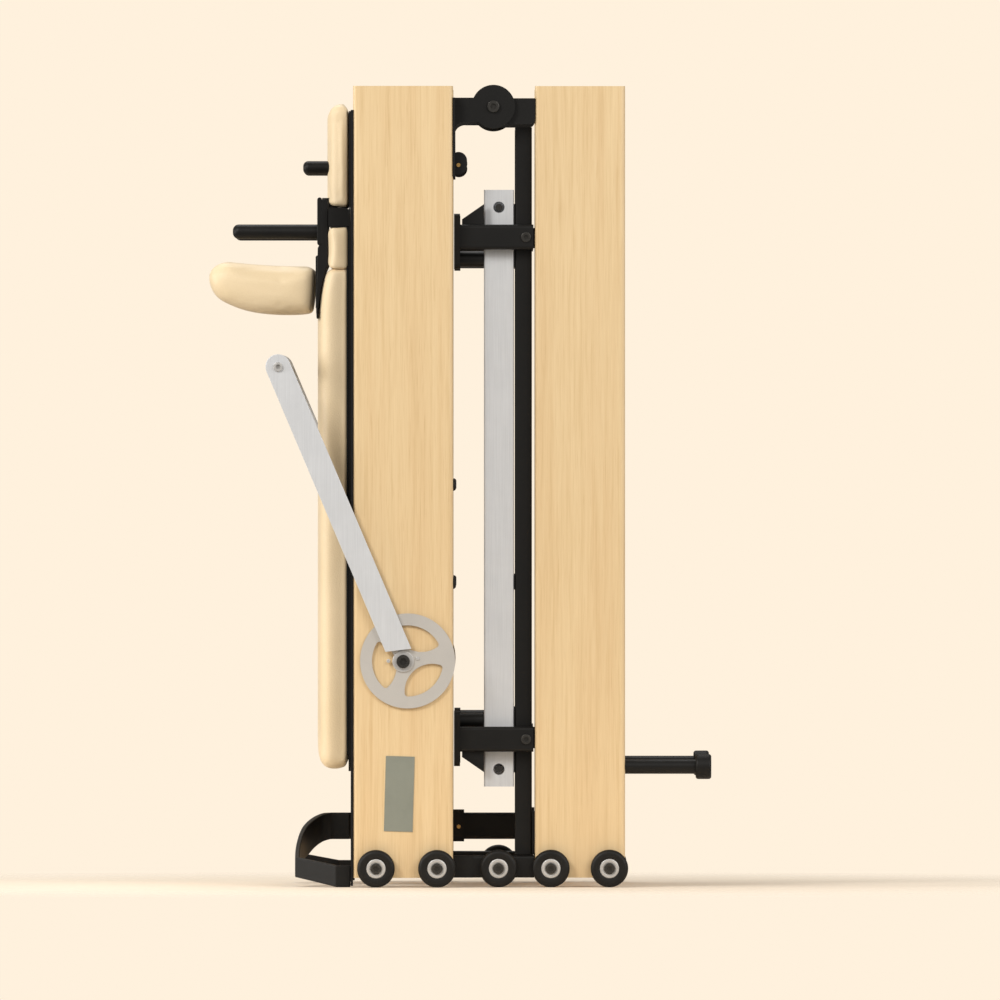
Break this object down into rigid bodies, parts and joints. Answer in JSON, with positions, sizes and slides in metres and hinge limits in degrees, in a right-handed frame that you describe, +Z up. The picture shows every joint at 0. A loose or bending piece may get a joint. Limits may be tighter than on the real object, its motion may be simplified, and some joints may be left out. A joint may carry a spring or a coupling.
{
  "type": "pilates reformer",
  "caption": "Folding pilates reformer folded upright on transport wheels, with carriage, headrest, shoulder rests and footbar.",
  "frame": {"origin": "on the floor, in the middle of the folded machine's footprint", "axes": "+Z up along the folded rails, +X from the carriage half to the folding half, +Y across"},
  "size_m": [0.7637, 0.6548, 1.2163],
  "materials": {
    "wood": "light ash, fine grain, satin lacquer",
    "black_metal": "black powder coat",
    "aluminium": "satin anodised",
    "grey_metal": "light grey satin paint",
    "upholstery": "smooth cream vinyl",
    "rubber": "matt black rubber",
    "tyre": "matt black wheel tyre",
    "steel": "zinc-plated steel",
    "brass": "satin brass",
    "label": "blank grey-green plate",
    "bolt": "black oxide"
  },
  "bodies": {
    "carriage_half": {"carriage_half_rails": "wood", "carriage_half_cross_boards": "wood", "carriage_half_tracks": "aluminium", "rail_edge_strips": "black_metal", "blank_side_plates": "label", "fold_bumpers": "rubber", "fold_hinge_brackets": "black_metal", "fold_hinge_bolts": "bolt", "foot_end_legs": "black_metal", "foot_end_post": "black_metal", "foot_end_post_bracket": "black_metal", "brass_lock_pins": "brass", "foot_stirrups": "black_metal", "carriage_half_axle_bolts": "bolt", "footbar_hub_bolts": "bolt", "spring_bar": "black_metal", "resistance_springs": "steel"},
    "carriage": {"carriage_board": "black_metal", "carriage_frame": "black_metal", "main_pad": "upholstery", "neck_pad": "upholstery", "shoulder_block": "black_metal", "shoulder_brackets": "black_metal", "shoulder_rods": "rubber", "shoulder_pads": "upholstery"},
    "headrest": {"headrest_board": "black_metal", "headrest_pad": "upholstery", "headrest_pegs": "rubber"},
    "lower_rollers": {"lower_roller_axle": "steel"},
    "upper_rollers": {"upper_roller_axle": "steel"},
    "footbar": {"footbar_arms": "aluminium", "footbar_crossbar": "steel", "footbar_grip": "rubber", "footbar_screws": "steel", "footbar_index_discs": "grey_metal"},
    "folding_half": {"folding_half_rails": "wood", "folding_half_cross_boards": "wood", "folding_half_tracks": "aluminium", "fold_hinge_arms": "black_metal", "folding_half_axle_bolts": "bolt", "underframe_beams": "aluminium", "underframe_tubes": "black_metal", "saddle_plates": "black_metal", "leg_bars": "black_metal", "foot_pads": "rubber", "leg_gussets": "black_metal", "levelling_stems": "black_metal", "leg_bolts": "bolt", "end_posts": "black_metal", "end_post_caps": "rubber"},
    "left_outer_wheel_near": {"left_outer_wheel_near": "tyre"},
    "left_outer_wheel_far": {"left_outer_wheel_far": "tyre"},
    "left_inner_wheel_near": {"left_inner_wheel_near": "tyre"},
    "left_inner_wheel_far": {"left_inner_wheel_far": "tyre"},
    "middle_wheel_near": {"middle_wheel_near": "tyre"},
    "middle_wheel_far": {"middle_wheel_far": "tyre"},
    "right_inner_wheel_near": {"right_inner_wheel_near": "tyre"},
    "right_inner_wheel_far": {"right_inner_wheel_far": "tyre"},
    "right_outer_wheel_near": {"right_outer_wheel_near": "tyre"},
    "right_outer_wheel_far": {"right_outer_wheel_far": "tyre"}
  },
  "joints": [
    {"name": "fold_hinge", "type": "hinge", "parent": "carriage_half", "child": "folding_half", "pos_m": [0.0514, 0, 1.1835], "axis": [0, -1, 0], "range_deg": [0, 180]},
    {"name": "carriage_slide", "type": "slide", "parent": "carriage_half", "child": "carriage", "axis": [0, 0, 1], "range_m": [0, 0.88], "deforming": ["resistance_springs"]},
    {"name": "headrest_tilt", "type": "hinge", "parent": "carriage", "child": "headrest", "pos_m": [-0.204, 0, 1.036], "axis": [0, -1, 0], "range_deg": [0, 40]},
    {"name": "footbar_pivot", "type": "hinge", "parent": "carriage_half", "child": "footbar", "pos_m": [-0.0853, 0, 0.3424], "axis": [0, -1, 0], "range_deg": [-3, 80]},
    {"name": "lower_rollers_spin", "type": "hinge", "parent": "carriage", "child": "lower_rollers", "pos_m": [-0.1493, 0, 0.26], "axis": [0, 1, 0], "continuous": true},
    {"name": "upper_rollers_spin", "type": "hinge", "parent": "carriage", "child": "upper_rollers", "pos_m": [-0.1493, 0, 0.93], "axis": [0, 1, 0], "continuous": true},
    {"name": "left_outer_wheel_near_spin", "type": "hinge", "parent": "carriage_half", "child": "left_outer_wheel_near", "pos_m": [-0.1265, 0, 0.0285], "axis": [0, 1, 0], "continuous": true},
    {"name": "left_outer_wheel_far_spin", "type": "hinge", "parent": "carriage_half", "child": "left_outer_wheel_far", "pos_m": [-0.1265, 0, 0.0285], "axis": [0, 1, 0], "continuous": true},
    {"name": "left_inner_wheel_near_spin", "type": "hinge", "parent": "carriage_half", "child": "left_inner_wheel_near", "pos_m": [-0.0341, 0, 0.0285], "axis": [0, 1, 0], "continuous": true},
    {"name": "left_inner_wheel_far_spin", "type": "hinge", "parent": "carriage_half", "child": "left_inner_wheel_far", "pos_m": [-0.0341, 0, 0.0285], "axis": [0, 1, 0], "continuous": true},
    {"name": "middle_wheel_near_spin", "type": "hinge", "parent": "carriage_half", "child": "middle_wheel_near", "pos_m": [0.0591, 0, 0.0285], "axis": [0, 1, 0], "continuous": true},
    {"name": "middle_wheel_far_spin", "type": "hinge", "parent": "carriage_half", "child": "middle_wheel_far", "pos_m": [0.0591, 0, 0.0285], "axis": [0, 1, 0], "continuous": true},
    {"name": "right_inner_wheel_near_spin", "type": "hinge", "parent": "folding_half", "child": "right_inner_wheel_near", "pos_m": [0.1386, 0, 0.0285], "axis": [0, 1, 0], "continuous": true},
    {"name": "right_inner_wheel_far_spin", "type": "hinge", "parent": "folding_half", "child": "right_inner_wheel_far", "pos_m": [0.1386, 0, 0.0285], "axis": [0, 1, 0], "continuous": true},
    {"name": "right_outer_wheel_near_spin", "type": "hinge", "parent": "folding_half", "child": "right_outer_wheel_near", "pos_m": [0.2273, 0, 0.0285], "axis": [0, 1, 0], "continuous": true},
    {"name": "right_outer_wheel_far_spin", "type": "hinge", "parent": "folding_half", "child": "right_outer_wheel_far", "pos_m": [0.2273, 0, 0.0285], "axis": [0, 1, 0], "continuous": true}
  ],
  "couplings": [
    {"joint": "lower_rollers_spin", "follows": "carriage_slide", "rad_per_m": 76.923},
    {"joint": "upper_rollers_spin", "follows": "carriage_slide", "rad_per_m": 76.923}
  ]
}
